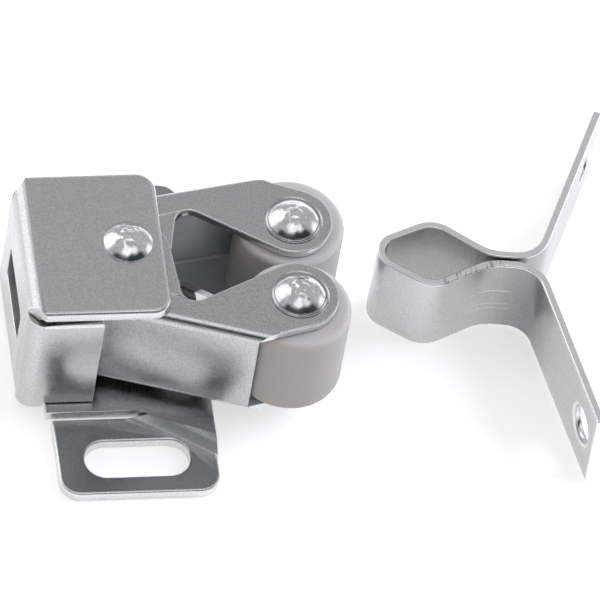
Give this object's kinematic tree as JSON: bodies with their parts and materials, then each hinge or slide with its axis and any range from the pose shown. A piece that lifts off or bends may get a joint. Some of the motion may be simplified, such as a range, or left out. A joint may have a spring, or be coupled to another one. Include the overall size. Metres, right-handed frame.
{
  "type": "double roller catch",
  "caption": "Double roller catch for a cabinet door: a folded bracket holds a sprung pair of arms with plastic rollers that close behind the nose of a folded strike.",
  "frame": {"origin": "midway between the two screw slots, on the surface that the ears are screwed to", "axes": "+Z away from that surface, +X out of the mouth towards the strike, +Y to the far side"},
  "size_m": [0.0571, 0.0363, 0.0167],
  "materials": {
    "bracket_steel": "nickel-plated sheet steel, satin",
    "arm_steel": "nickel-plated sheet steel, satin",
    "strike_steel": "nickel-plated strip steel, satin",
    "rivet_steel": "nickel-plated, polished by the riveting tool",
    "spring_steel": "bright drawn spring wire",
    "roller_nylon": "natural white nylon"
  },
  "bodies": {
    "housing": {"bracket": "bracket_steel", "pivot_rivet": "rivet_steel", "strike": "strike_steel"},
    "near_lever": {"near_arm": "arm_steel", "near_axle_rivet": "rivet_steel", "spring": "spring_steel"},
    "far_lever": {"far_arm": "arm_steel", "far_axle_rivet": "rivet_steel"},
    "near_wheel": {"near_roller": "roller_nylon"},
    "far_wheel": {"far_roller": "roller_nylon"}
  },
  "joints": [
    {"name": "pair_swivel", "type": "hinge", "parent": "housing", "child": "near_lever", "pos_m": [-0.0008, 0, 0.00825], "axis": [0, 0, 1], "range_deg": [-8, 10]},
    {"name": "far_arm_opening", "type": "hinge", "parent": "near_lever", "child": "far_lever", "pos_m": [-0.0008, 0, 0.00825], "axis": [0, 0, 1], "range_deg": [0, 27], "stiffness_Nm_per_rad": 0.061, "springref_deg": -28.65, "deforming": ["spring"]},
    {"name": "near_roller_spin", "type": "hinge", "parent": "near_lever", "child": "near_wheel", "pos_m": [0.01433, -0.00607, 0.0087], "axis": [0, 0, 1], "continuous": true},
    {"name": "far_roller_spin", "type": "hinge", "parent": "far_lever", "child": "far_wheel", "pos_m": [0.01502, 0.00397, 0.0078], "axis": [0, 0, 1], "continuous": true}
  ]
}
